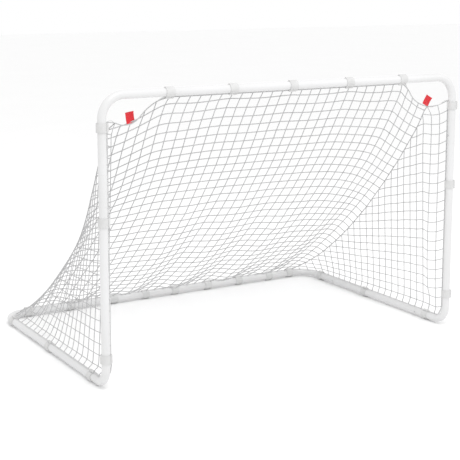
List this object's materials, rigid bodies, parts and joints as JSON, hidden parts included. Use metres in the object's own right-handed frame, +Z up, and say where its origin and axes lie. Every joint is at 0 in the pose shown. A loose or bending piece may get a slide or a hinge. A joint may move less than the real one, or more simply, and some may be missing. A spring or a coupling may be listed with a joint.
{
  "type": "backyard soccer goal",
  "caption": "White steel-tube soccer goal with rounded corners, push-button tube joints, plastic net clips, a sagging square-mesh net and two red corner tags.",
  "frame": {"origin": "on the ground under the middle of the frame, half way across its width and its depth", "axes": "+Z up; the mouth faces -Y; +X runs along the crossbar, to the right as seen from in front of the mouth"},
  "size_m": [1.8404, 1.226, 1.2304],
  "materials": {
    "white_powder_coat": "satin white powder coat over steel tube, very fine orange peel",
    "button_steel": "zinc-plated pressed steel, slightly dull",
    "spring_steel": "bent blue-grey spring steel strip",
    "clip_plastic": "moulded white nylon, fine grain and a faint mould line",
    "net_twine": "twisted light grey-white polyester twine",
    "edge_cord": "braided white polyester cord",
    "red_tag": "plain woven red nylon tape with hemmed edges"
  },
  "bodies": {
    "frame": {"top_corner_left": "white_powder_coat", "top_corner_right": "white_powder_coat", "post_left": "white_powder_coat", "post_right": "white_powder_coat", "side_tube_left": "white_powder_coat", "side_tube_right": "white_powder_coat", "rear_corner_left": "white_powder_coat", "rear_corner_right": "white_powder_coat", "button_spring_top_middle": "spring_steel", "button_spring_back_middle": "spring_steel", "button_spring_post_left": "spring_steel", "button_spring_post_right": "spring_steel", "button_spring_foot_left": "spring_steel", "button_spring_foot_right": "spring_steel", "button_spring_rear_left": "spring_steel", "button_spring_rear_right": "spring_steel", "clip_top_1": "clip_plastic", "clip_top_2": "clip_plastic", "clip_top_3": "clip_plastic", "clip_top_4": "clip_plastic", "clip_top_5": "clip_plastic", "clip_left_post_1": "clip_plastic", "clip_left_post_2": "clip_plastic", "clip_left_post_3": "clip_plastic", "clip_right_post_1": "clip_plastic", "clip_right_post_2": "clip_plastic", "clip_right_post_3": "clip_plastic", "clip_left_side_1": "clip_plastic", "clip_left_side_2": "clip_plastic", "clip_left_side_3": "clip_plastic", "clip_right_side_1": "clip_plastic", "clip_right_side_2": "clip_plastic", "clip_right_side_3": "clip_plastic", "clip_back_1": "clip_plastic", "clip_back_2": "clip_plastic", "clip_back_3": "clip_plastic", "clip_back_4": "clip_plastic", "clip_back_5": "clip_plastic", "clip_back_6": "clip_plastic", "clip_back_7": "clip_plastic", "clip_back_8": "clip_plastic", "clip_back_9": "clip_plastic", "net_back": "net_twine", "net_left": "net_twine", "net_right": "net_twine", "net_edge_cord": "edge_cord", "tag_left": "red_tag", "tag_right": "red_tag"},
    "button_top_middle": {"button_top_middle": "button_steel"},
    "button_back_middle": {"button_back_middle": "button_steel"},
    "button_post_left": {"button_post_left": "button_steel"},
    "button_post_right": {"button_post_right": "button_steel"},
    "button_foot_left": {"button_foot_left": "button_steel"},
    "button_foot_right": {"button_foot_right": "button_steel"},
    "button_rear_left": {"button_rear_left": "button_steel"},
    "button_rear_right": {"button_rear_right": "button_steel"}
  },
  "joints": [
    {"name": "press_top_middle", "type": "slide", "parent": "frame", "child": "button_top_middle", "axis": [0, -1, 0], "range_m": [0, 0.0056], "stiffness_N_per_m": 1500, "springref_m": -0.0012, "deforming": ["button_spring_top_middle"]},
    {"name": "press_back_middle", "type": "slide", "parent": "frame", "child": "button_back_middle", "axis": [0, -1, 0], "range_m": [0, 0.0056], "stiffness_N_per_m": 1500, "springref_m": -0.0012, "deforming": ["button_spring_back_middle"]},
    {"name": "press_post_left", "type": "slide", "parent": "frame", "child": "button_post_left", "axis": [-1, 0, 0], "range_m": [0, 0.0056], "stiffness_N_per_m": 1500, "springref_m": -0.0012, "deforming": ["button_spring_post_left"]},
    {"name": "press_post_right", "type": "slide", "parent": "frame", "child": "button_post_right", "axis": [1, 0, 0], "range_m": [0, 0.0056], "stiffness_N_per_m": 1500, "springref_m": -0.0012, "deforming": ["button_spring_post_right"]},
    {"name": "press_foot_left", "type": "slide", "parent": "frame", "child": "button_foot_left", "axis": [-1, 0, 0], "range_m": [0, 0.0056], "stiffness_N_per_m": 1500, "springref_m": -0.0012, "deforming": ["button_spring_foot_left"]},
    {"name": "press_foot_right", "type": "slide", "parent": "frame", "child": "button_foot_right", "axis": [1, 0, 0], "range_m": [0, 0.0056], "stiffness_N_per_m": 1500, "springref_m": -0.0012, "deforming": ["button_spring_foot_right"]},
    {"name": "press_rear_left", "type": "slide", "parent": "frame", "child": "button_rear_left", "axis": [-1, 0, 0], "range_m": [0, 0.0056], "stiffness_N_per_m": 1500, "springref_m": -0.0012, "deforming": ["button_spring_rear_left"]},
    {"name": "press_rear_right", "type": "slide", "parent": "frame", "child": "button_rear_right", "axis": [1, 0, 0], "range_m": [0, 0.0056], "stiffness_N_per_m": 1500, "springref_m": -0.0012, "deforming": ["button_spring_rear_right"]}
  ]
}
